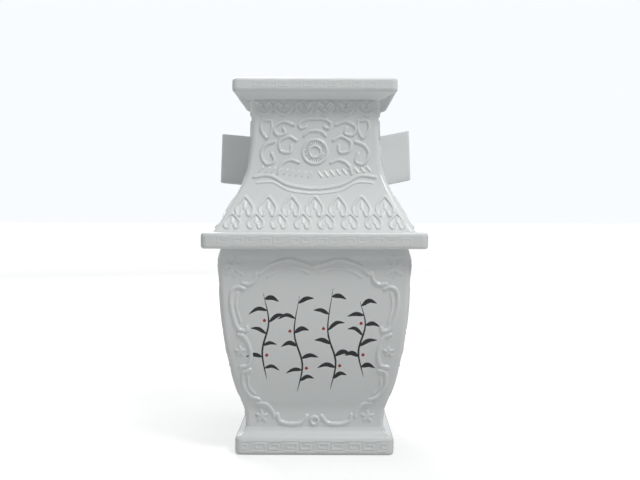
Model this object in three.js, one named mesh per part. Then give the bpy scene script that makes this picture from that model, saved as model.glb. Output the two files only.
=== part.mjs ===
// A square porcelain vase with a stepped shoulder, a waisted neck, a flat mouth rim and two
// pierced lugs. It is built as such a vase is: pressed clay slabs, mitred at the corners.
// Millimetres, +Z up, front towards -Y, origin at the middle of the foot's underside.
import * as THREE from 'three';

// Driving sizes. A half width is the distance from the axis to a flat face.
const JOINT_GAP = 0.3;
const FOOT_HEIGHT = 13.5;
const FOOT_COVE_HEIGHT = 6.5;
const FOOT_HALF = 60.3;
const COVE_LIP = 1;
const FOOT_BEARING_WIDTH = 16.3;
const BASE_THICKNESS = 5;
const BODY_HEIGHT = 136.6;
const BODY_FOOT_HALF = 52.6;
const BODY_SHOULDER_HALF = 72;
const WALL = 5;
const WALL_CORNER_RADIUS = 4;
const LEDGE_THICKNESS = 12;
const LEDGE_OVERHANG = 11.3;
const LEDGE_BEARING_WIDTH = 23.3;
const NECK_HEIGHT = 99.7;
const NECK_FOOT_OVERHANG = 3;
const NECK_WAIST_HALF = 48.8;
const RIM_FACE_HEIGHT = 10.1;
const RIM_UNDERCUT_HEIGHT = 5.4;
const RIM_OVERHANG = 13.6;
const RIM_CORNER_RADIUS = 5;
const EDGE_ROUND = 2.5;
const MIN_CORNER_RADIUS = 1;
const LUG_REACH = 75.4;
const LUG_LEAN = 1.4;
const LUG_HEIGHT = 38.5;
const LUG_TOP_DROP = 24;
const LUG_DEPTH = 20;
const LUG_WALL = 3.5;
const LUG_CORNER_RADIUS = 2;
const LEFT_LUG_RISE = 0.09;
const RIGHT_LUG_RISE = 0.2;

// Outlines as shares: height from the wall's foot to its head, then width from the narrow
// half width to the wide one.
const BODY_OUTLINE = [
  [0, 0], [0.09, 0.05], [0.16, 0.21], [0.28, 0.46], [0.41, 0.68],
  [0.55, 0.83], [0.75, 0.93], [0.94, 1], [1, 0.9],
];
const NECK_OUTLINE = [
  [0, 1], [0.03, 0.94], [0.12, 0.74], [0.24, 0.49], [0.36, 0.27],
  [0.47, 0.13], [0.64, 0.03], [0.86, 0], [1, 0.02],
];
const WALL_LEVELS = 20;
const ARC_STEPS = 4;
const LUG_LEVELS = 8;

// Heights worked out from the driving sizes.
const footTop = FOOT_HEIGHT + FOOT_COVE_HEIGHT;
const bodyBottom = footTop + JOINT_GAP;
const bodyTop = bodyBottom + BODY_HEIGHT;
const ledgeBottom = bodyTop + JOINT_GAP;
const ledgeTop = ledgeBottom + LEDGE_THICKNESS;
const ledgeHalf = BODY_SHOULDER_HALF + LEDGE_OVERHANG;
const neckFootHalf = BODY_SHOULDER_HALF + NECK_FOOT_OVERHANG;
const neckBottom = ledgeTop + JOINT_GAP;
const neckTop = neckBottom + NECK_HEIGHT;
const rimBottom = neckTop + JOINT_GAP;
const rimTop = rimBottom + RIM_UNDERCUT_HEIGHT + RIM_FACE_HEIGHT;
const rimHalf = NECK_WAIST_HALF + RIM_OVERHANG;
const mouthHalf = NECK_WAIST_HALF - WALL;

const bodyWidth = outlineWidth(BODY_OUTLINE, bodyBottom, BODY_HEIGHT, BODY_FOOT_HALF, BODY_SHOULDER_HALF);
const neckWidth = outlineWidth(NECK_OUTLINE, neckBottom, NECK_HEIGHT, NECK_WAIST_HALF, neckFootHalf);

const glaze = new THREE.MeshStandardMaterial({ color: 0xe4e9e7, roughness: 0.14, metalness: 0 });
const innerGlaze = new THREE.MeshStandardMaterial({ color: 0xdfe4e0, roughness: 0.22, metalness: 0 });

// Half width at a height, from a smooth curve through an outline's points.
function outlineWidth(outline, bottom, height, narrow, wide) {
  const curve = new THREE.SplineCurve(outline.map(([up, out]) => new THREE.Vector2(up, out)));
  const samples = curve.getPoints(outline.length * 12);
  return (z) => {
    const up = THREE.MathUtils.clamp((z - bottom) / height, 0, 1);
    const next = Math.max(1, samples.findIndex((point) => point.x >= up));
    const low = samples[next - 1];
    const high = samples[next];
    const share = (up - low.x) / (high.x - low.x);
    return narrow + (wide - narrow) * THREE.MathUtils.lerp(low.y, high.y, share);
  };
}

// A closed solid from a stack of equal loops; a ring joins its last loop to its first.
function stackSolid(name, loops, isRing, material) {
  const count = loops[0].length;
  const faces = [];
  const lastStep = isRing ? loops.length : loops.length - 1;
  for (let level = 0; level < lastStep; level += 1) {
    const lower = level * count;
    const upper = ((level + 1) % loops.length) * count;
    for (let i = 0; i < count; i += 1) {
      const j = (i + 1) % count;
      faces.push(lower + i, lower + j, upper + j, lower + i, upper + j, upper + i);
    }
  }
  if (!isRing) {
    const top = (loops.length - 1) * count;
    const contour = loops[0].map((p) => new THREE.Vector2(p.x, p.y));
    const isTurned = THREE.ShapeUtils.isClockWise(contour);
    THREE.ShapeUtils.triangulateShape(contour, []).forEach(([a, second, third]) => {
      const [b, c] = isTurned ? [third, second] : [second, third];
      faces.push(a, c, b, top + a, top + b, top + c);
    });
  }
  const points = loops.flat();
  const geometry = new THREE.BufferGeometry().setFromPoints(points);
  geometry.setIndex(facesOut(points, faces));
  geometry.computeVertexNormals();
  const mesh = new THREE.Mesh(geometry, material);
  mesh.name = name;
  return mesh;
}

// Turn every face round when the enclosed volume comes out negative.
function facesOut(points, faces) {
  let volume = 0;
  for (let i = 0; i < faces.length; i += 3) {
    const [a, b, c] = [points[faces[i]], points[faces[i + 1]], points[faces[i + 2]]];
    volume += a.dot(new THREE.Vector3().crossVectors(b, c));
  }
  return volume < 0 ? faces.reverse() : faces;
}

// A square with rounded corners, as one level loop.
function roundedSquare(half, radius, z) {
  const loop = [];
  for (let corner = 0; corner < 4; corner += 1) {
    const middle = Math.PI / 4 + (corner * Math.PI) / 2;
    const centre = (half - radius) * Math.SQRT2;
    for (let step = 0; step <= ARC_STEPS; step += 1) {
      const angle = middle - Math.PI / 4 + (step / ARC_STEPS) * (Math.PI / 2);
      loop.push(new THREE.Vector3(
        centre * Math.cos(middle) + radius * Math.cos(angle),
        centre * Math.sin(middle) + radius * Math.sin(angle),
        z,
      ));
    }
  }
  return loop;
}

// A cross-section whose corners are eased: each point is [half width, height, rounding].
function easedOutline(corners) {
  const outline = [];
  corners.forEach(([half, z, round], i) => {
    const here = new THREE.Vector2(half, z);
    if (round === 0) {
      outline.push(here);
      return;
    }
    const [before, after] = [corners.at(i - 1), corners[(i + 1) % corners.length]]
      .map(([a, b]) => new THREE.Vector2(a, b).sub(here).setLength(round).add(here));
    outline.push(...new THREE.QuadraticBezierCurve(before, here, after).getPoints(ARC_STEPS));
  });
  return outline;
}

// A square ring swept round the axis from its cross-section.
function squareRing(name, corners, cornerRadius) {
  const outline = easedOutline(corners);
  const outer = Math.max(...outline.map((point) => point.x));
  const loops = outline.map((point) => {
    const radius = Math.max(MIN_CORNER_RADIUS, cornerRadius - (outer - point.x));
    return roundedSquare(point.x, radius, point.y);
  });
  return stackSolid(name, loops, true, glaze);
}

// One slab wall seen from its own side: outside rounded at the corners, ends mitred.
function wallSlab(name, widthAt, bottom, top, turn) {
  const mitre = Math.acos(JOINT_GAP / 2 / WALL_CORNER_RADIUS) - Math.PI / 4;
  const setback = (JOINT_GAP / 2) * Math.SQRT2;
  const loops = [];
  for (let level = 0; level <= WALL_LEVELS; level += 1) {
    const z = THREE.MathUtils.lerp(bottom, top, level / WALL_LEVELS);
    const half = widthAt(z);
    const inner = half - WALL;
    const rightArc = [];
    for (let step = 0; step <= ARC_STEPS; step += 1) {
      const angle = (step / ARC_STEPS) * mitre;
      const x = half - WALL_CORNER_RADIUS + WALL_CORNER_RADIUS * Math.sin(angle);
      const y = half - WALL_CORNER_RADIUS + WALL_CORNER_RADIUS * Math.cos(angle);
      rightArc.push(new THREE.Vector3(x, -y, z));
    }
    const leftArc = rightArc.map((p) => new THREE.Vector3(-p.x, p.y, p.z)).reverse();
    loops.push([
      ...leftArc,
      ...rightArc,
      new THREE.Vector3(inner - setback, -inner, z),
      new THREE.Vector3(setback - inner, -inner, z),
    ]);
  }
  const mesh = stackSolid(name, loops, false, glaze);
  mesh.rotation.z = turn;
  return mesh;
}

function footRing() {
  const inner = FOOT_HALF - FOOT_BEARING_WIDTH;
  return squareRing('foot_ring', [
    [FOOT_HALF, 0, EDGE_ROUND],
    [FOOT_HALF, FOOT_HEIGHT, EDGE_ROUND],
    [BODY_FOOT_HALF + COVE_LIP, FOOT_HEIGHT + EDGE_ROUND, EDGE_ROUND],
    [BODY_FOOT_HALF, footTop, 0],
    [inner, footTop, 0],
    [inner, 0, EDGE_ROUND],
  ], RIM_CORNER_RADIUS);
}

function baseSlab() {
  const half = BODY_FOOT_HALF - WALL - JOINT_GAP;
  const levels = [bodyBottom, bodyBottom + BASE_THICKNESS];
  const loops = levels.map((z) => roundedSquare(half, MIN_CORNER_RADIUS, z));
  return stackSolid('base_slab', loops, false, innerGlaze);
}

function shoulderLedge() {
  const inner = ledgeHalf - LEDGE_BEARING_WIDTH;
  return squareRing('shoulder_ledge', [
    [ledgeHalf, ledgeBottom, EDGE_ROUND],
    [ledgeHalf, ledgeTop, EDGE_ROUND],
    [inner, ledgeTop, EDGE_ROUND],
    [inner, ledgeBottom, EDGE_ROUND],
  ], RIM_CORNER_RADIUS);
}

function mouthRim() {
  return squareRing('mouth_rim', [
    [rimHalf, rimBottom + RIM_UNDERCUT_HEIGHT, EDGE_ROUND],
    [rimHalf, rimTop, EDGE_ROUND],
    [mouthHalf, rimTop, EDGE_ROUND],
    [mouthHalf, rimBottom, 0],
    [NECK_WAIST_HALF, rimBottom, 0],
  ], RIM_CORNER_RADIUS);
}

// A lug is a square tube open on the neck's side; its ends rise outwards.
function lug(name, side, rise) {
  const bottom = neckTop - LUG_TOP_DROP - LUG_HEIGHT;
  const loops = [];
  for (let level = 0; level <= LUG_LEVELS; level += 1) {
    const share = level / LUG_LEVELS;
    const z = bottom + share * LUG_HEIGHT;
    const seat = neckWidth(z) + JOINT_GAP;
    const reach = LUG_REACH + LUG_LEAN * (1 - share);
    const halfDepth = LUG_DEPTH / 2;
    const outer = [[seat, -halfDepth]];
    for (let step = 0; step <= ARC_STEPS; step += 1) {
      const angle = (step / ARC_STEPS) * (Math.PI / 2);
      outer.push([
        reach - LUG_CORNER_RADIUS * (1 - Math.sin(angle)),
        -halfDepth + LUG_CORNER_RADIUS * (1 - Math.cos(angle)),
      ]);
    }
    const farSide = outer.map(([x, y]) => [x, -y]).reverse();
    const boreHalf = halfDepth - LUG_WALL;
    const bore = [[seat, boreHalf], [reach - LUG_WALL, boreHalf], [reach - LUG_WALL, -boreHalf], [seat, -boreHalf]];
    loops.push([...outer, ...farSide, ...bore]
      .map(([x, y]) => new THREE.Vector3(side * x, y, z + rise * (x - seat))));
  }
  return stackSolid(name, loops, false, glaze);
}

const group = new THREE.Group();
const sides = [['front', 0], ['right', 1], ['back', 2], ['left', 3]];
group.add(footRing(), baseSlab(), shoulderLedge(), mouthRim());
sides.forEach(([side, quarter]) => {
  const turn = (quarter * Math.PI) / 2;
  group.add(wallSlab(`body_wall_${side}`, bodyWidth, bodyBottom, bodyTop, turn));
  group.add(wallSlab(`neck_wall_${side}`, neckWidth, neckBottom, neckTop, turn));
});
group.add(lug('lug_left', -1, LEFT_LUG_RISE));
group.add(lug('lug_right', 1, RIGHT_LUG_RISE));
console.log(`height ${rimTop.toFixed(1)} mm, least wall gap ${JOINT_GAP} mm`);

export default group;
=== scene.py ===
"""A white glazed square vase with moulded relief and painted sprigs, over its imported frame."""
import math
import random

import bmesh
import bpy
import numpy as np
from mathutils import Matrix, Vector


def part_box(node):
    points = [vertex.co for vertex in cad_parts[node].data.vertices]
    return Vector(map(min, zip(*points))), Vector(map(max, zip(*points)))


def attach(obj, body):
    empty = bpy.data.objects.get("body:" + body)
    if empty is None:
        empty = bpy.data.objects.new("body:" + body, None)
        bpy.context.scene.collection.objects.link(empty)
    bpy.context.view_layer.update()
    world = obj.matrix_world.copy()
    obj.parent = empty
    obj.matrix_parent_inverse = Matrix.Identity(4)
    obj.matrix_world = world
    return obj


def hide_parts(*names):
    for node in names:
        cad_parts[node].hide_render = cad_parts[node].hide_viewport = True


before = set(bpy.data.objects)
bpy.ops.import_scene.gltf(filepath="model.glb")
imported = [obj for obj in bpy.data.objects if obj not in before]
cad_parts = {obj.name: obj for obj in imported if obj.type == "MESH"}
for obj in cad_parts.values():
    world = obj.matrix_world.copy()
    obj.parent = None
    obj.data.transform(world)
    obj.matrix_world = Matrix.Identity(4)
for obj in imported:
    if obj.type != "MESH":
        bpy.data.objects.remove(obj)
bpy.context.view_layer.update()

bl_info = {
    "name": "Moulded porcelain square vase",
    "version": (1, 0, 0),
    "blender": (4, 5, 0),
    "location": "View3D > Sidebar > Vase",
    "description": "Builds the glazed slabs, rings, lugs and painted sprigs of a square vase",
    "category": "Object",
}

MM = 0.001
SIDES = (("front", 0), ("right", 1), ("back", 2), ("left", 3))

# Sizes of the slabs and rings that the frame's boxes don't give.
WALL = 5 * MM
CORNER_RADIUS = 4 * MM
RING_CORNER_RADIUS = 5 * MM
LEAST_CORNER_RADIUS = 1 * MM
EDGE_ROUND = 2.5 * MM
SEAT = 0.3 * MM
FOOT_FACE_HEIGHT = 13.5 * MM
FOOT_RING_WIDTH = 16.3 * MM
FOOT_COVE_LIP = 1 * MM
LEDGE_WIDTH = 23.3 * MM
RIM_UNDERCUT = 5.4 * MM
LUG_ROUND = 0.9 * MM

# Fineness of the meshes.
ARC_STEPS = 8
EASE_STEPS = 9
FINE_STEP = 0.5 * MM
PLAIN_STEP = 2.5 * MM
CURVE_STEPS = 8
SHARP_ANGLE = math.radians(42)

# Depth of a ring's relief face, the fade of a relief near a rounded corner, and the values of
# the mask of painted shade where a surface carries no relief.
FACE_BAND = 0.6 * MM
RELIEF_FADE = 1.5 * MM
PLAIN_SHADE = 0.5
ENAMEL_SHADE = 0.4

# Strengths of the ridges, and their half widths in millimetres of a panel.
FIRM = 0.7
FAINT = 0.6
SOFT = 0.5
BROAD_RIDGE = 1.5
LAPPET_RIDGE = 1.0
THREAD = 0.9
HAIR = 0.8

# The body panel's frame on its right side, in millimetres across and up; the left mirrors it.
FRAME_RIDGES = (
    ((0, 143.2), (9, 146.5), (19.5, 149), (32, 145), (40.8, 138.2)),
    ((42.7, 138.5), (44.1, 133.4), (47.9, 130.5), (53.1, 131)),
    ((52.1, 127.2), (56.3, 128.6), (61.1, 125.7), (62.1, 116.2), (59.9, 104.9),
     (56.6, 97), (50.9, 95.7), (50, 98)),
    ((56.6, 92.8), (51.9, 90.4), (47.7, 79.7), (49.3, 69.7), (55.1, 67.7)),
    ((48.4, 65.3), (53.7, 62.8), (53.5, 52.8), (48.8, 44.7), (42.1, 41.6)),
    ((43.2, 38.6), (36.3, 37.5), (31.6, 31.3), (31, 28.3)),
    ((28.2, 29.6), (26.6, 24.6), (19.1, 22.4), (10.2, 23.2), (5.7, 28.3)),
)
FRAME_THREADS = (
    ((4, 139), (14, 142.5), (26, 141), (35, 136)),
    ((57, 124), (58, 114), (55, 102)),
    ((50, 60), (49.5, 52), (45, 46.5)),
)
# Flowers as across, up and radius; short rays stand round the first.
FRAME_FLOWERS = ((59.2, 143.3, 6), (40.3, 28.5, 5.4), (55.5, 79.9, 4.4))
FRAME_LOOP = (0, 25)
FRAME_LOOP_RADIUS = 3
FRAME_LOOP_RIDGE = 1.1
RAY_REACH = 5
RAY_LENGTH = 1.6

# The neck panel's scrolls on one side, each with the half width of its ridge.
NECK_SCROLLS = (
    (((0, 255.6), (6, 255.4), (12, 252.4), (11, 248.4), (7, 249.4)), 1.1),
    (((0, 246.6), (5, 245.6), (8.4, 242.6)), 1.0),
    (((-16, 251), (-24, 253.4), (-31, 249), (-29, 243.4), (-23, 244.4), (-24, 248)), 1.2),
    (((-33, 254), (-40, 254), (-41, 247), (-36.5, 241), (-33, 247), (-33, 254)), 1.1),
    (((-14, 239), (-20, 242), (-27, 238), (-26, 231), (-19, 230), (-18, 235)), 1.2),
    (((-31, 238), (-38, 235), (-41, 228), (-37, 221), (-31, 223), (-33, 229)), 1.2),
    (((-12, 222), (-19, 224), (-26, 220), (-28, 213.5)), 1.1),
    (((-46, 211), (-34, 212), (-21, 205.4), (-6, 202.4), (0, 202.2)), 1.3),
)
NECK_THREAD = ((-44, 206.4), (-32, 206.8), (-20, 200.8), (-6, 198.6), (0, 198.5))
ROUNDEL = np.array((0, 230.3))
ROUNDEL_RINGS = ((4.4, 1.0), (9.2, 1.2))
ROUNDEL_TEETH = 28
TOOTH_RADII = (5.6, 7.8)
TOOTH_RIDGE = 0.45
FEATHERS = 9
FEATHER_START = np.array((-42, 215.5))
FEATHER_STEP = np.array((4.6, -0.55))
FEATHER_STROKE = np.array((2.4, 3.1))

# Hearts under the rim, as across from each one's middle and up.
HEARTS = 6
HEART_PITCH = 15.75
HALF_HEART = ((0, 258.4), (4.6, 261.2), (6.6, 265), (4.4, 267.8), (1.2, 265.6))
HEART_PEARL_HEIGHT = 263.2
HEART_PEARL_RADIUS = 1.2
HEART_POINT = ((6, 262.6), (7.9, 259.6), (9.8, 262.6))
HEART_POINT_RIDGE = 0.6

# Lappets: half an outline and the vein's ends, as shares of half the width and of the height,
# and the rows as count, bottom, top, half width and half width of the ridge.
LAPPET_PITCH = 17.5
HALF_LAPPET = ((0, 1), (0.45, 0.8), (1, 0.42), (0.92, 0.1), (0.5, 0), (0.3, 0.22))
LAPPET_VEIN = (0.35, 0.65)
LAPPET_ROWS = ((7, 181.8, 196.4, 6.2, LAPPET_RIDGE), (8, 172.6, 183.4, 5.6, THREAD))

# Key frets in millimetres: a unit's pitch, half the height and half the span. A spiral's turns
# are shares of its half width and of half the height.
FOOT_FRET = (23.9, 3.5, 59.75)
FOOT_FRET_MIDDLE = 6.7
LEDGE_FRET = (20.5, 2.6, 71.75)
RIM_FRET = (18.6, 2.2, 55.8)
SPIRAL = ((-1, -1), (1, -1), (1, 0.6), (-0.6, 0.6), (-0.6, -0.4), (0.3, -0.4))
SPIRAL_PLACE = 0.25
SPIRAL_HALF_WIDTH = 0.19
SPIRAL_RIDGE = 0.75
BORDER_GAP = 0.9
BORDER_RIDGE = 0.5

# Painted stems, leaves and berries of the front panel, in millimetres across and up.
STEMS = (
    ((-36, 58), (-39, 80), (-34, 102), (-38, 124)),
    ((-13, 48), (-9, 70), (-15, 94), (-11, 122)),
    ((12, 50), (16, 72), (10, 96), (14, 128)),
    ((37, 60), (33, 80), (38, 100), (34, 118)),
)
STEM_WIDTH = 1.6
STEM_STEPS = 5
STROKE_STEPS = 6
LEAF_SEED = 7
LEAF_REACH = (10, 14)
LEAF_RISE = (-3, 6)
LEAF_BOW = (1.5, 3)
LEAF_WIDTH = (3.0, 4.2)
BERRY_ASIDE = 3.2
BERRY_RISE = 1.5
BERRY_WIDTH = 2.8
BERRY_HALF_HEIGHT = 1.3
# Across the stroke as a share of its half width, and height over the glaze in millimetres.
STROKE_SECTION = ((-1, -0.03), (-0.6, 0.1), (0, 0.14), (0.6, 0.1), (1, -0.03), (0, -0.1))

# Stage: lamps as name, place, size and power, and the camera with its focal length in pixels
# of the photograph.
LAMPS = (
    ("key_lamp", (0.8, -0.95, 1.7), 0.6, 17),
    ("fill_lamp", (-1.5, -0.9, 0.7), 1.0, 1.6),
    ("top_lamp", (0.1, -0.1, 1.7), 0.8, 6),
    ("back_lamp", (-0.5, 1.5, 1.1), 1.0, 11),
)
LAMP_AIM = Vector((0, 0, 0.15))
WORLD_LEVEL = 0.17
FLOOR_REACH = 40
PHOTO_WIDTH = 640
FOCAL_PIXELS = 900
SENSOR_WIDTH = 36
CAMERA_ASIDE = 3.7 * MM
CAMERA_AWAY = 738 * MM
CAMERA_HEIGHT = 179 * MM
CAMERA_TURN = math.radians(0.3)
CAMERA_DROP = math.radians(1.33)
CAMERA_ROLL = math.radians(-0.12)


class VaseShape(bpy.types.PropertyGroup):
    """Fineness and depth of the moulded relief."""
    grid: bpy.props.FloatProperty(
        name="Relief grid", description="Spacing of the relief's points", default=0.6 * MM,
        unit="LENGTH")
    relief: bpy.props.FloatProperty(
        name="Relief height", description="How far the mouldings stand out", default=1.25 * MM,
        unit="LENGTH")
    fret: bpy.props.FloatProperty(
        name="Fret height", description="How far the key fret stands out", default=0.35 * MM,
        unit="LENGTH")


class VaseFinish(bpy.types.PropertyGroup):
    """Colours of the glaze and the enamels."""
    glaze: bpy.props.FloatVectorProperty(
        name="Glaze", description="Colour of the white glaze", default=(0.72, 0.775, 0.77),
        subtype="COLOR")
    # The darker, greyer glaze tone: partly glaze pooled thick, partly painted shade on flat ground
    # and plain faces, kept off the relief crests.
    pooled_and_shaded: bpy.props.FloatVectorProperty(
        name="Pooled glaze", description="Colour where the glaze lies thick",
        default=(0.47, 0.54, 0.55), subtype="COLOR")
    ink: bpy.props.FloatVectorProperty(
        name="Dark enamel", description="Colour of the painted leaves",
        default=(0.018, 0.019, 0.021), subtype="COLOR")
    berry: bpy.props.FloatVectorProperty(
        name="Red enamel", description="Colour of the painted berries",
        default=(0.47, 0.045, 0.03), subtype="COLOR")


def smooth_line(points, steps=CURVE_STEPS):
    """A Catmull-Rom curve through a few points, as an array of closer points."""
    pts = np.array(points, float)
    padded = np.vstack([2 * pts[0] - pts[1], pts, 2 * pts[-1] - pts[-2]])
    line = []
    for i in range(1, len(padded) - 2):
        p0, p1, p2, p3 = padded[i - 1:i + 3]
        for t in np.arange(steps) / steps:
            line.append(0.5 * (2 * p1 + (p2 - p0) * t + (2 * p0 - 5 * p1 + 4 * p2 - p3) * t ** 2
                               + (3 * p1 - p0 - 3 * p2 + p3) * t ** 3))
    line.append(pts[-1])
    return np.array(line)


# Relief. x and z are grids in millimetres of a panel, and height is raised from 0 to 1.

def round_bump(away, width):
    """A half-round section: 1 on the line and 0 from its half width on."""
    return np.sqrt(np.clip(1 - (away / width) ** 2, 0, 1))


def ridge(height, x, z, line, width, strength=1.0):
    """Raise a rounded ridge along a line."""
    low = line.min(axis=0) - width
    high = line.max(axis=0) + width
    near = (x > low[0]) & (x < high[0]) & (z > low[1]) & (z < high[1])
    if not near.any():
        return
    px, pz = x[near], z[near]
    best = np.full(px.shape, 1e9)
    for a, b in zip(line[:-1], line[1:]):
        ab = b - a
        t = ((px - a[0]) * ab[0] + (pz - a[1]) * ab[1]) / max(ab @ ab, 1e-9)
        t = np.clip(t, 0, 1)
        best = np.minimum(best, np.hypot(px - a[0] - t * ab[0], pz - a[1] - t * ab[1]))
    height[near] = np.maximum(height[near], round_bump(best, width) * strength)


def mirrored(height, x, z, points, width, strength=1.0):
    """The same smooth ridge on both sides of the middle."""
    line = smooth_line(points)
    ridge(height, x, z, line, width, strength)
    ridge(height, x, z, line * np.array([-1, 1]), width, strength)


def flower(height, x, z, centre, radius):
    """A five-petalled flower with a pearl in its middle."""
    dx, dz = x - centre[0], z - centre[1]
    away = np.hypot(dx, dz) / radius
    petal = 0.72 + 0.28 * np.cos(5 * (np.arctan2(dx, dz)))
    bloom = np.clip(1 - (away / petal) ** 2, 0, 1) ** 0.4 * np.clip(away * 3, 0.35, 1)
    np.maximum(height, np.maximum(bloom, round_bump(away, 0.24)), out=height)


def ring_mark(height, x, z, centre, radius, width):
    """A ring, or a pearl where the radius is 0."""
    away = np.abs(np.hypot(x - centre[0], z - centre[1]) - radius)
    np.maximum(height, round_bump(away, width), out=height)


def body_relief(x, z):
    """Scrolled frame of the body panel, with flowers at its corners and sides."""
    h = np.zeros(x.shape)
    for points in FRAME_RIDGES:
        mirrored(h, x, z, points, BROAD_RIDGE)
    for points in FRAME_THREADS:
        mirrored(h, x, z, points, THREAD, FAINT)
    ring_mark(h, x, z, FRAME_LOOP, FRAME_LOOP_RADIUS, FRAME_LOOP_RIDGE)
    for side in (-1, 1):
        for across, up, radius in FRAME_FLOWERS:
            flower(h, x, z, (side * across, up), radius)
        corner_rays(h, x, z, np.array([side * FRAME_FLOWERS[0][0], FRAME_FLOWERS[0][1]]))
    return h


def corner_rays(height, x, z, root):
    """Eight short rays round a corner flower."""
    for angle in range(0, 360, 45):
        turn = math.radians(angle)
        tip = RAY_REACH * np.array([math.cos(turn), math.sin(turn)])
        ridge(height, x, z, np.array([root + tip, root + RAY_LENGTH * tip]), HAIR, SOFT)


def heart_row(height, x, z):
    """Hearts that hang under the rim, a pearl in each and a small point between them."""
    for i in range(HEARTS):
        mid = (i - (HEARTS - 1) / 2) * HEART_PITCH
        for side in (-1, 1):
            heart = [(mid + side * across, up) for across, up in HALF_HEART]
            ridge(height, x, z, smooth_line(heart), LAPPET_RIDGE)
        ring_mark(height, x, z, (mid, HEART_PEARL_HEIGHT), 0, HEART_PEARL_RADIUS)
        point = np.array([(mid + across, up) for across, up in HEART_POINT])
        ridge(height, x, z, point, HEART_POINT_RIDGE, FAINT)


def roundel(height, x, z):
    """Two rings with teeth between them."""
    for radius, width in ROUNDEL_RINGS:
        ring_mark(height, x, z, ROUNDEL, radius, width)
    for tooth in range(ROUNDEL_TEETH):
        angle = 2 * math.pi * tooth / ROUNDEL_TEETH
        spoke = np.array([math.cos(angle), math.sin(angle)])
        ends = np.array([ROUNDEL + radius * spoke for radius in TOOTH_RADII])
        ridge(height, x, z, ends, TOOTH_RIDGE, FAINT)


def feather_row(height, x, z):
    """Short strokes that follow the large arc under the roundel."""
    for feather in range(FEATHERS):
        foot = FEATHER_START + feather * FEATHER_STEP
        mirrored(height, x, z, [foot, foot + FEATHER_STROKE], HAIR, FAINT)


def lappet_row(height, x, z, count, bottom, top, half, width):
    """Upright pointed lappets with curled feet and a vein."""
    rise = top - bottom
    for i in range(count):
        mid = (i - (count - 1) / 2) * LAPPET_PITCH
        for side in (-1, 1):
            outline = [(mid + side * half * a, bottom + rise * b) for a, b in HALF_LAPPET]
            ridge(height, x, z, smooth_line(outline), width)
        vein = np.array([(mid, bottom + rise * share) for share in LAPPET_VEIN])
        ridge(height, x, z, vein, width, FIRM)


def neck_relief(x, z):
    """Hanging hearts, a scrolled roundel and two rows of leaf lappets."""
    h = np.zeros(x.shape)
    heart_row(h, x, z)
    roundel(h, x, z)
    for points, width in NECK_SCROLLS:
        mirrored(h, x, z, points, width)
    mirrored(h, x, z, NECK_THREAD, HAIR, FAINT)
    feather_row(h, x, z)
    for row in LAPPET_ROWS:
        lappet_row(h, x, z, *row)
    return h


def fret_band(middle, pitch, tall, half_span):
    """A relief of square spirals, two to a unit, between two border lines."""
    count = int(2 * half_span // pitch)

    def relief(x, z):
        h = np.zeros(x.shape)
        for i in range(count):
            unit = (i - (count - 1) / 2) * pitch
            for side in (-1, 1):
                centre = np.array([unit + side * pitch * SPIRAL_PLACE, middle])
                reach = side * np.array([pitch * SPIRAL_HALF_WIDTH, tall])
                ridge(h, x, z, centre + reach * np.array(SPIRAL), SPIRAL_RIDGE)
        for edge in (middle - tall - BORDER_GAP, middle + tall + BORDER_GAP):
            border = np.array([(-half_span, edge), (half_span, edge)])
            ridge(h, x, z, border, BORDER_RIDGE, FIRM)
        return h

    return relief


# Meshes: stacked loops of points, read from the frame where it gives the size.

def read_outline(node):
    """Height and half width of a front wall, read from its CAD solid."""
    points = np.array([v.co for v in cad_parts[node].data.vertices])
    heights = np.unique(np.round(points[:, 2], 5))
    halves = [-points[np.abs(points[:, 2] - z) < 2e-5, 1].min() for z in heights]
    return heights, np.array(halves)


def half_at(outline, z):
    """Half width at heights z, by a smooth cubic between the outline's levels."""
    heights, halves = outline
    slopes = np.gradient(halves, heights)
    i = np.clip(np.searchsorted(heights, z) - 1, 0, len(heights) - 2)
    step = heights[i + 1] - heights[i]
    t = np.clip((z - heights[i]) / step, 0, 1)
    rise = t * t * (3 - 2 * t)
    return (halves[i] * (1 - rise) + halves[i + 1] * rise
            + step * (t * (1 - t) ** 2 * slopes[i] + t * t * (t - 1) * slopes[i + 1]))


def turned(x, y, angle):
    """Plan coordinates turned round the vase's axis."""
    cos, sin = math.cos(angle), math.sin(angle)
    return x * cos - y * sin, x * sin + y * cos


def loops_object(name, loops, is_ring, painted_shade, turn=0):
    """A closed mesh from stacked loops (rows, points, xyz), carrying a point mask of painted shade
    for its glaze.
    """
    rows, count, _ = loops.shape
    x, y = turned(loops[..., 0], loops[..., 1], turn)
    points = np.stack([x, y, loops[..., 2]], axis=-1).reshape(-1, 3)
    lower = np.arange(rows if is_ring else rows - 1)[:, None] * count
    upper = (lower + count) % (rows * count)
    i = np.arange(count)[None, :]
    j = (i + 1) % count
    faces = np.stack([lower + i, lower + j, upper + j, upper + i], axis=-1).reshape(-1, 4).tolist()
    if not is_ring:
        faces.append(list(range(count - 1, -1, -1)))
        faces.append(list(range((rows - 1) * count, rows * count)))
    mesh = bpy.data.meshes.new(name)
    mesh.from_pydata(points.tolist(), [], faces)
    mesh.validate()
    faces_out(mesh)
    mask = mesh.attributes.new("painted_shade", "FLOAT", "POINT")
    mask.data.foreach_set("value", painted_shade.ravel().astype("f"))
    mesh.shade_smooth()
    mesh.set_sharp_from_angle(angle=SHARP_ANGLE)
    mesh.update()
    piece = bpy.data.objects.new(name, mesh)
    bpy.context.scene.collection.objects.link(piece)
    return piece


def faces_out(mesh):
    """Turn every face of a closed mesh to look outwards."""
    work = bmesh.new()
    work.from_mesh(mesh)
    bmesh.ops.recalc_face_normals(work, faces=work.faces)
    work.to_mesh(mesh)
    work.free()


def flat_relief(flat_half, span, z, relief):
    """Grid of a flat face, and its relief faded out towards the rounded corners."""
    x = span[None, :] * flat_half
    fade = np.clip((flat_half - np.abs(x)) / RELIEF_FADE, 0, 1)
    raised = relief(x / MM, np.broadcast_to(z[:, None], x.shape) / MM) * fade
    return x, raised


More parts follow.
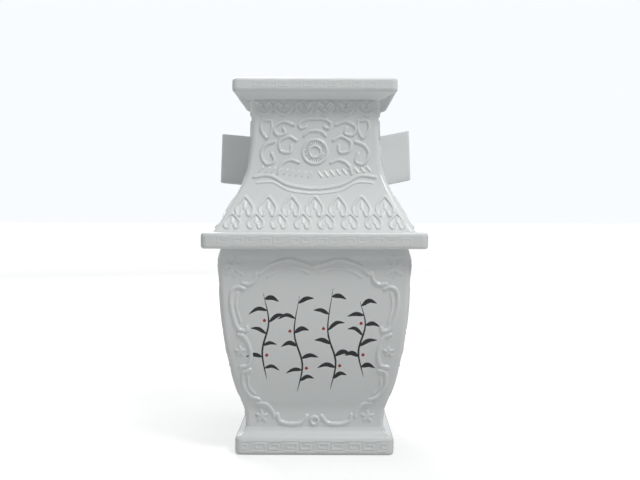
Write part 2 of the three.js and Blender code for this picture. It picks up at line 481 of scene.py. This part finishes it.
def wall_piece(name, node, quarter, relief, depth, grid):
    """One moulded slab wall over its CAD wall, mitred at the corners."""
    outline = read_outline(node.rsplit("_", 1)[0] + "_front")
    low, high = outline[0][0] - SEAT, outline[0][-1] + SEAT
    z = np.linspace(low, high, int((high - low) / grid) + 1)
    half = half_at(outline, z)[:, None]
    span = np.linspace(-1, 1, int(2 * half.max() / grid))
    centre = half - CORNER_RADIUS
    flat_x, raised = flat_relief(centre, span, z, relief)
    flat_y = -half - raised * depth
    angles = np.linspace(0, math.pi / 4, ARC_STEPS + 1)[1:]
    arc_x = centre + CORNER_RADIUS * np.sin(angles)
    arc_y = -centre - CORNER_RADIUS * np.cos(angles)
    inner = half - WALL
    xs = np.hstack([-arc_x[:, ::-1], flat_x, arc_x, inner, -inner])
    ys = np.hstack([arc_y[:, ::-1], flat_y, arc_y, -inner, -inner])
    zs = np.broadcast_to(z[:, None], xs.shape)
    # Painted shade in the glaze: half on the rounded corners and inner faces, full on the flat
    # ground, none on relief crests.
    painted_shade = np.full(xs.shape, PLAIN_SHADE)
    painted_shade[:, ARC_STEPS:ARC_STEPS + len(span)] = 1 - raised
    loops = np.stack([xs, ys, zs], axis=-1)
    glaze_piece(loops_object(name, loops, False, painted_shade, quarter * math.pi / 2), node)


def eased_outline(corners):
    """A closed cross-section with its corners rounded, resampled finely on its outer face."""
    outer = max(corner[0] for corner in corners)
    points = []
    for i, (half, z, round_by) in enumerate(corners):
        here = np.array([half, z])
        if round_by == 0:
            points.append(here)
            continue
        ends = []
        for other in (corners[i - 1], corners[(i + 1) % len(corners)]):
            way = np.array(other[:2]) - here
            ends.append(here + way / np.linalg.norm(way) * round_by)
        for t in np.linspace(0, 1, EASE_STEPS):
            points.append((1 - t) ** 2 * ends[0] + 2 * t * (1 - t) * here + t * t * ends[1])
    fine = []
    for i, start in enumerate(points):
        way = points[(i + 1) % len(points)] - start
        on_face = min(start[0], start[0] + way[0]) > outer - FACE_BAND
        steps = max(1, int(np.linalg.norm(way) / (FINE_STEP if on_face else PLAIN_STEP)))
        fine.extend(start + way * k / steps for k in range(steps))
    return np.array(fine)


def ring_piece(name, node, corners, relief, depth, grid):
    """A square ring swept round the axis, with relief on its four faces."""
    outline = eased_outline(corners)
    half = outline[:, :1]
    z = outline[:, 1]
    outer = half.max()
    radius = np.maximum(LEAST_CORNER_RADIUS, RING_CORNER_RADIUS - (outer - half))
    centre = half - radius
    flat_x, raised = flat_relief(centre, np.linspace(-1, 1, int(2 * outer / grid)), z, relief)
    raised = raised * (half > outer - FACE_BAND)
    angles = np.linspace(0, math.pi / 2, 2 * ARC_STEPS + 1)[1:-1]
    xs = np.hstack([flat_x, centre + radius * np.sin(angles)])
    ys = np.hstack([-half - raised * depth, -centre - radius * np.cos(angles)])
    quarters = [np.stack(turned(xs, ys, quarter * math.pi / 2), axis=-1) for quarter in range(4)]
    plan = np.concatenate(quarters, axis=1)
    zs = np.broadcast_to(z[:, None, None], plan.shape[:2] + (1,))
    # Painted shade in the glaze: full on the plain faces and the fret's ground, none on fret
    # crests, half on rounded corners.
    painted_shade = np.hstack([1 - raised, np.full((len(half), len(angles)), PLAIN_SHADE)])
    loops = np.concatenate([plan, zs], axis=-1)
    glaze_piece(loops_object(name, loops, True, np.tile(painted_shade, (1, 4))), node)


def glaze_piece(piece, *nodes):
    """Give a piece its glaze and its body, and hide the CAD nodes that it stands for."""
    piece.data.materials.append(white_glaze())
    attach(piece, "root")
    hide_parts(*nodes)


def moulded_foot(shape):
    """The foot ring, with a key fret on its face and a cove up to the body."""
    low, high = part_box("foot_ring")
    foot = high[0]
    inner = foot - FOOT_RING_WIDTH
    body_foot = read_outline("body_wall_front")[1][0]
    ring_piece("moulded_foot", "foot_ring", [
        (foot, low[2], EDGE_ROUND),
        (foot, FOOT_FACE_HEIGHT, EDGE_ROUND),
        (body_foot + FOOT_COVE_LIP, FOOT_FACE_HEIGHT + EDGE_ROUND, EDGE_ROUND),
        (body_foot, high[2], 0),
        (inner, high[2], 0),
        (inner, low[2], EDGE_ROUND),
    ], fret_band(FOOT_FRET_MIDDLE, *FOOT_FRET), shape.fret, shape.grid)


def moulded_ledge(shape):
    """The shoulder ledge, with a fainter fret."""
    low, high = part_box("shoulder_ledge")
    inner = high[0] - LEDGE_WIDTH
    middle = (low[2] + high[2]) / 2 / MM
    ring_piece("moulded_ledge", "shoulder_ledge", [
        (high[0], low[2], EDGE_ROUND),
        (high[0], high[2], EDGE_ROUND),
        (inner, high[2], EDGE_ROUND),
        (inner, low[2], EDGE_ROUND),
    ], fret_band(middle, *LEDGE_FRET), SOFT * shape.fret, shape.grid)


def moulded_rim(shape):
    """The mouth rim: a fretted face over a sloping underside."""
    low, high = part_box("mouth_rim")
    neck_half = read_outline("neck_wall_front")[1].min()
    mouth_half = neck_half - WALL
    face_low = low[2] + RIM_UNDERCUT
    middle = (face_low + high[2]) / 2 / MM
    ring_piece("moulded_rim", "mouth_rim", [
        (high[0], face_low, EDGE_ROUND),
        (high[0], high[2], EDGE_ROUND),
        (mouth_half, high[2], EDGE_ROUND),
        (mouth_half, low[2], 0),
        (neck_half, low[2], 0),
    ], fret_band(middle, *RIM_FRET), SOFT * shape.fret, shape.grid)


def softened_lug(side):
    """A lug with its edges rounded as thick glaze rounds them."""
    node = f"lug_{side}"
    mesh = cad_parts[node].data.copy()
    mesh.materials.clear()
    piece = bpy.data.objects.new(f"glazed_{node}", mesh)
    bpy.context.scene.collection.objects.link(piece)
    weld = piece.modifiers.new("weld", "WELD")
    weld.merge_threshold = 0.01 * MM
    bevel = piece.modifiers.new("rounding", "BEVEL")
    bevel.width = LUG_ROUND
    bevel.segments = 4
    bevel.limit_method = "ANGLE"
    bevel.angle_limit = math.radians(35)
    mesh.shade_smooth()
    glaze_piece(piece, node)


def painted_stroke(name, outline, points, width, material):
    """A raised brush stroke on the front slab: full in its middle, pointed at both ends."""
    line = smooth_line(points, STROKE_STEPS) * MM
    way = np.gradient(line, axis=0)
    way /= np.linalg.norm(way, axis=1)[:, None]
    across = np.stack([way[:, 1], -way[:, 0]], axis=-1)
    share = np.linspace(0, 1, len(line))
    half_width = (0.12 + 0.88 * np.sin(math.pi * share ** 0.8)) * width * MM / 2
    rows = []
    for offset, lift in STROKE_SECTION:
        spot = line + across * (half_width * offset)[:, None]
        y = -half_at(outline, spot[:, 1]) - lift * MM
        rows.append(np.stack([spot[:, 0], y, spot[:, 1]], axis=-1))
    loops = np.stack(rows, axis=1)
    # An even value of the painted-shade mask, the same all over the stroke.
    piece = loops_object(name, loops, False, np.full(loops.shape[:2], ENAMEL_SHADE))
    piece.data.materials.append(material)
    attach(piece, "root")


def painted_sprig(number, stem, outline, draw):
    """One stem with leaves to both sides and a few berries."""
    dark, red = dark_enamel(), red_enamel()
    painted_stroke(f"stem_{number}", outline, stem, STEM_WIDTH, dark)
    for k, spot in enumerate(smooth_line(stem, STEM_STEPS)[2::2]):
        side = -1 if k % 2 else 1
        reach = draw.uniform(*LEAF_REACH)
        rise = draw.uniform(*LEAF_RISE)
        tip = spot + np.array([side * reach, rise])
        bow = spot + np.array([side * reach * 0.5, rise * 0.5 + draw.uniform(*LEAF_BOW)])
        leaf_width = draw.uniform(*LEAF_WIDTH)
        painted_stroke(f"leaf_{number}_{k}", outline, [spot, bow, tip], leaf_width, dark)
        if k % 3 == 1:
            berry = spot + np.array([-side * BERRY_ASIDE, BERRY_RISE])
            up = np.array([0, BERRY_HALF_HEIGHT])
            dab = [berry - up, berry, berry + up]
            painted_stroke(f"berry_{number}_{k}", outline, dab, BERRY_WIDTH, red)


# Materials

def map_range(tree, source, low, high):
    """A Map Range node from a source's 0 to 1 to a low and a high value."""
    node = tree.nodes.new("ShaderNodeMapRange")
    node.inputs["To Min"].default_value = low
    node.inputs["To Max"].default_value = high
    tree.links.new(source, node.inputs["Value"])
    return node


def mix_colour(tree, factor):
    """A colour Mix node driven by a factor."""
    node = tree.nodes.new("ShaderNodeMix")
    node.data_type = "RGBA"
    tree.links.new(factor, node.inputs["Factor"])
    return node


def glaze_group():
    """Colour, gloss and waviness of a glaze: darker where painted shade lies, partly as glaze
    pooled thick, with soft clouds and a few iron flecks.
    """
    if "shaded_glaze" in bpy.data.node_groups:
        return bpy.data.node_groups["shaded_glaze"]
    tree = bpy.data.node_groups.new("shaded_glaze", "ShaderNodeTree")
    for label, kind in (("Thin", "Color"), ("Pooled_and_shaded", "Color"), ("Painted_shade", "Float")):
        tree.interface.new_socket(label, in_out="INPUT", socket_type=f"NodeSocket{kind}")
    for label, kind in (("Colour", "Color"), ("Roughness", "Float"), ("Waves", "Float")):
        tree.interface.new_socket(label, in_out="OUTPUT", socket_type=f"NodeSocket{kind}")
    nodes, links = tree.nodes, tree.links
    given = nodes.new("NodeGroupInput")
    result = nodes.new("NodeGroupOutput")
    place = nodes.new("ShaderNodeTexCoord")
    cloud = nodes.new("ShaderNodeTexNoise")
    cloud.inputs["Scale"].default_value = 28
    cloud.inputs["Detail"].default_value = 4
    links.new(place.outputs["Object"], cloud.inputs["Vector"])
    pooled_and_shaded = shade_and_cloud_tint(tree, given, cloud)
    flecked = iron_flecks(tree, place, pooled_and_shaded)
    rough = map_range(tree, cloud.outputs["Fac"], 0.06, 0.15)
    links.new(flecked, result.inputs["Colour"])
    links.new(rough.outputs["Result"], result.inputs["Roughness"])
    links.new(cloud.outputs["Fac"], result.inputs["Waves"])
    return tree


def shade_and_cloud_tint(tree, given, cloud):
    """Thin colour turning to the darker one where painted shade lies, which is partly pooled
    glaze, and in soft clouds.
    """
    amount = map_range(tree, cloud.outputs["Fac"], 0, 0.25)
    amount.inputs["From Min"].default_value = 0.3
    amount.inputs["From Max"].default_value = 0.75
    shade_share = tree.nodes.new("ShaderNodeMath")
    shade_share.operation = "MULTIPLY_ADD"
    shade_share.inputs[1].default_value = 0.5
    tree.links.new(given.outputs["Painted_shade"], shade_share.inputs[0])
    tree.links.new(amount.outputs["Result"], shade_share.inputs[2])
    tint = mix_colour(tree, shade_share.outputs["Value"])
    tree.links.new(given.outputs["Thin"], tint.inputs["A"])
    tree.links.new(given.outputs["Pooled_and_shaded"], tint.inputs["B"])
    return tint.outputs["Result"]


def iron_flecks(tree, place, ground):
    """Tiny brown flecks, as iron leaves in a white glaze."""
    specks = tree.nodes.new("ShaderNodeTexVoronoi")
    specks.inputs["Scale"].default_value = 130
    tree.links.new(place.outputs["Object"], specks.inputs["Vector"])
    dot = map_range(tree, specks.outputs["Distance"], 0, 1)
    dot.inputs["From Min"].default_value = 0.035
    dot.inputs["From Max"].default_value = 0.02
    fleck = mix_colour(tree, dot.outputs["Result"])
    fleck.inputs["B"].default_value = (0.16, 0.11, 0.07, 1)
    tree.links.new(ground, fleck.inputs["A"])
    return fleck.outputs["Result"]


def glazed_material(name, thin, pooled_and_shaded, coat):
    """A glossy glazed or enamelled surface."""
    if name in bpy.data.materials:
        return bpy.data.materials[name]
    material = bpy.data.materials.new(name)
    material.use_nodes = True
    nodes, links = material.node_tree.nodes, material.node_tree.links
    shader = nodes["Principled BSDF"]
    shader.inputs["Coat Roughness"].default_value = 0.06
    shader.inputs["Coat Weight"].default_value = coat
    glaze = nodes.new("ShaderNodeGroup")
    glaze.node_tree = glaze_group()
    glaze.inputs["Thin"].default_value = (*thin, 1)
    glaze.inputs["Pooled_and_shaded"].default_value = (*pooled_and_shaded, 1)
    # The point mask of painted shade, which mixes in the second, darker colour.
    mask = nodes.new("ShaderNodeAttribute")
    mask.attribute_name = "painted_shade"
    links.new(mask.outputs["Fac"], glaze.inputs["Painted_shade"])
    bump = nodes.new("ShaderNodeBump")
    bump.inputs["Strength"].default_value = 0.25
    bump.inputs["Distance"].default_value = 0.4 * MM
    links.new(glaze.outputs["Waves"], bump.inputs["Height"])
    links.new(glaze.outputs["Colour"], shader.inputs["Base Color"])
    links.new(glaze.outputs["Roughness"], shader.inputs["Roughness"])
    links.new(bump.outputs["Normal"], shader.inputs["Normal"])
    return material


def white_glaze():
    """The vase's own glaze."""
    finish = bpy.context.scene.vase_finish
    return glazed_material("white_glaze", finish.glaze, finish.pooled_and_shaded, 0.6)


def dark_enamel():
    """Enamel of the stems and leaves."""
    finish = bpy.context.scene.vase_finish
    return glazed_material("dark_enamel", finish.ink, [2.2 * c for c in finish.ink], 0.2)


def red_enamel():
    """Enamel of the berries."""
    finish = bpy.context.scene.vase_finish
    return glazed_material("red_enamel", finish.berry, [0.7 * c for c in finish.berry], 0.2)


# Stage

def pale_floor():
    """A wide pale floor that reads as white to the camera and keeps the vase's shadow."""
    reach = FLOOR_REACH
    points = [(-reach, -reach, 0), (reach, -reach, 0), (reach, reach, 0), (-reach, reach, 0)]
    mesh = bpy.data.meshes.new("floor")
    mesh.from_pydata(points, [], [(0, 1, 2, 3)])
    mesh.materials.append(floor_material())
    floor = bpy.data.objects.new("floor", mesh)
    bpy.context.scene.collection.objects.link(floor)


def floor_material():
    """A pale matt ground, lifted towards white for camera rays, more so far away."""
    material = bpy.data.materials.new("pale_floor")
    material.use_nodes = True
    tree = material.node_tree
    nodes, links = tree.nodes, tree.links
    shader = nodes["Principled BSDF"]
    shader.inputs["Roughness"].default_value = 0.7
    shader.inputs["Emission Color"].default_value = (1, 1, 1, 1)
    noise = nodes.new("ShaderNodeTexNoise")
    noise.inputs["Scale"].default_value = 6
    tone = map_range(tree, noise.outputs["Fac"], 0.58, 0.62)
    links.new(tone.outputs["Result"], shader.inputs["Base Color"])
    spot = nodes.new("ShaderNodeTexCoord")
    away = nodes.new("ShaderNodeVectorMath")
    away.operation = "LENGTH"
    links.new(spot.outputs["Object"], away.inputs[0])
    share = map_range(tree, away.outputs["Value"], 0.5, 0.8)
    share.inputs["From Min"].default_value = 0.3
    share.inputs["From Max"].default_value = 3
    seen = nodes.new("ShaderNodeLightPath")
    lift = nodes.new("ShaderNodeMath")
    lift.operation = "MULTIPLY"
    links.new(seen.outputs["Is Camera Ray"], lift.inputs[0])
    links.new(share.outputs["Result"], lift.inputs[1])
    links.new(lift.outputs["Value"], shader.inputs["Emission Strength"])
    return material


def studio_lamps(scene):
    """Soft lamps: the key high at the front right, the rest weaker round the vase."""
    for name, place, size, power in LAMPS:
        lamp = bpy.data.lights.new(name, "AREA")
        lamp.size = size
        lamp.energy = power
        rig = bpy.data.objects.new(name, lamp)
        rig.location = place
        rig.rotation_euler = (LAMP_AIM - Vector(place)).to_track_quat("-Z", "Y").to_euler()
        scene.collection.objects.link(rig)


def studio_world(scene):
    """A dim pale world that camera and glossy rays see as white."""
    world = bpy.data.worlds.new("studio")
    world.use_nodes = True
    tree = world.node_tree
    back = tree.nodes["Background"]
    back.inputs["Color"].default_value = (0.95, 0.97, 1, 1)
    path = tree.nodes.new("ShaderNodeLightPath")
    bright = tree.nodes.new("ShaderNodeMath")
    bright.operation = "MAXIMUM"
    tree.links.new(path.outputs["Is Camera Ray"], bright.inputs[0])
    tree.links.new(path.outputs["Is Glossy Ray"], bright.inputs[1])
    level = map_range(tree, bright.outputs["Value"], WORLD_LEVEL, 1)
    tree.links.new(level.outputs["Result"], back.inputs["Strength"])
    scene.world = world
    scene.view_settings.view_transform = "Standard"


def photo_camera(scene):
    """The camera of the photograph: nearly level and slightly to the right."""
    data = bpy.data.cameras.new("photo_camera")
    data.sensor_width = SENSOR_WIDTH
    data.lens = FOCAL_PIXELS / PHOTO_WIDTH * SENSOR_WIDTH
    camera = bpy.data.objects.new("photo_camera", data)
    camera.location = (*turned(CAMERA_ASIDE, -CAMERA_AWAY, CAMERA_TURN), CAMERA_HEIGHT)
    camera.rotation_euler = (math.pi / 2 - CAMERA_DROP, CAMERA_ROLL, CAMERA_TURN)
    scene.collection.objects.link(camera)
    scene.camera = camera


class VASE_OT_walls(bpy.types.Operator):
    """Build the eight moulded slab walls"""
    bl_idname = "vase.walls"
    bl_label = "Slab walls"

    def execute(self, context):
        shape = context.scene.vase_shape
        for side, quarter in SIDES:
            for part, relief in (("body", body_relief), ("neck", neck_relief)):
                wall_piece(f"{part}_slab_{side}", f"{part}_wall_{side}", quarter, relief,
                           shape.relief, shape.grid)
        return {"FINISHED"}


class VASE_OT_rings(bpy.types.Operator):
    """Build the foot ring, shoulder ledge and mouth rim"""
    bl_idname = "vase.rings"
    bl_label = "Rings"

    def execute(self, context):
        shape = context.scene.vase_shape
        moulded_foot(shape)
        moulded_ledge(shape)
        moulded_rim(shape)
        return {"FINISHED"}


class VASE_OT_lugs(bpy.types.Operator):
    """Round off the two pierced lugs and glaze the base slab"""
    bl_idname = "vase.lugs"
    bl_label = "Lugs and base"

    def execute(self, context):
        softened_lug("left")
        softened_lug("right")
        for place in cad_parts["base_slab"].material_slots:
            place.material = white_glaze()
        return {"FINISHED"}


class VASE_OT_sprigs(bpy.types.Operator):
    """Paint the leafy sprigs of the front panel"""
    bl_idname = "vase.sprigs"
    bl_label = "Painted sprigs"

    def execute(self, context):
        outline = read_outline("body_wall_front")
        draw = random.Random(LEAF_SEED)
        for number, stem in enumerate(STEMS):
            painted_sprig(number, stem, outline, draw)
        return {"FINISHED"}


class VASE_OT_stage(bpy.types.Operator):
    """Build the floor, the lamps and the camera"""
    bl_idname = "vase.stage"
    bl_label = "Stage"

    def execute(self, context):
        pale_floor()
        studio_lamps(context.scene)
        studio_world(context.scene)
        photo_camera(context.scene)
        return {"FINISHED"}


class VASE_PT_panel(bpy.types.Panel):
    """Lists the vase's sizes, colours and building steps"""
    bl_label = "Vase"
    bl_idname = "VASE_PT_panel"
    bl_space_type = "VIEW_3D"
    bl_region_type = "UI"
    bl_category = "Vase"

    def draw(self, context):
        for settings in (context.scene.vase_shape, context.scene.vase_finish):
            for key in settings.__annotations__:
                self.layout.prop(settings, key)
        for step in STEPS:
            self.layout.operator(step.bl_idname)


STEPS = (VASE_OT_walls, VASE_OT_rings, VASE_OT_lugs, VASE_OT_sprigs, VASE_OT_stage)
CLASSES = (VaseShape, VaseFinish, *STEPS, VASE_PT_panel)


def register():
    """Add the classes and the scene's settings."""
    for item in CLASSES:
        bpy.utils.register_class(item)
    bpy.types.Scene.vase_shape = bpy.props.PointerProperty(type=VaseShape)
    bpy.types.Scene.vase_finish = bpy.props.PointerProperty(type=VaseFinish)


def unregister():
    """Take the settings and the classes out again."""
    del bpy.types.Scene.vase_finish
    del bpy.types.Scene.vase_shape
    for item in reversed(CLASSES):
        bpy.utils.unregister_class(item)


def main():
    """Build the vase and its stage."""
    register()
    bpy.ops.vase.walls()
    bpy.ops.vase.rings()
    bpy.ops.vase.lugs()
    bpy.ops.vase.sprigs()
    bpy.ops.vase.stage()


if __name__ == "__main__":
    main()
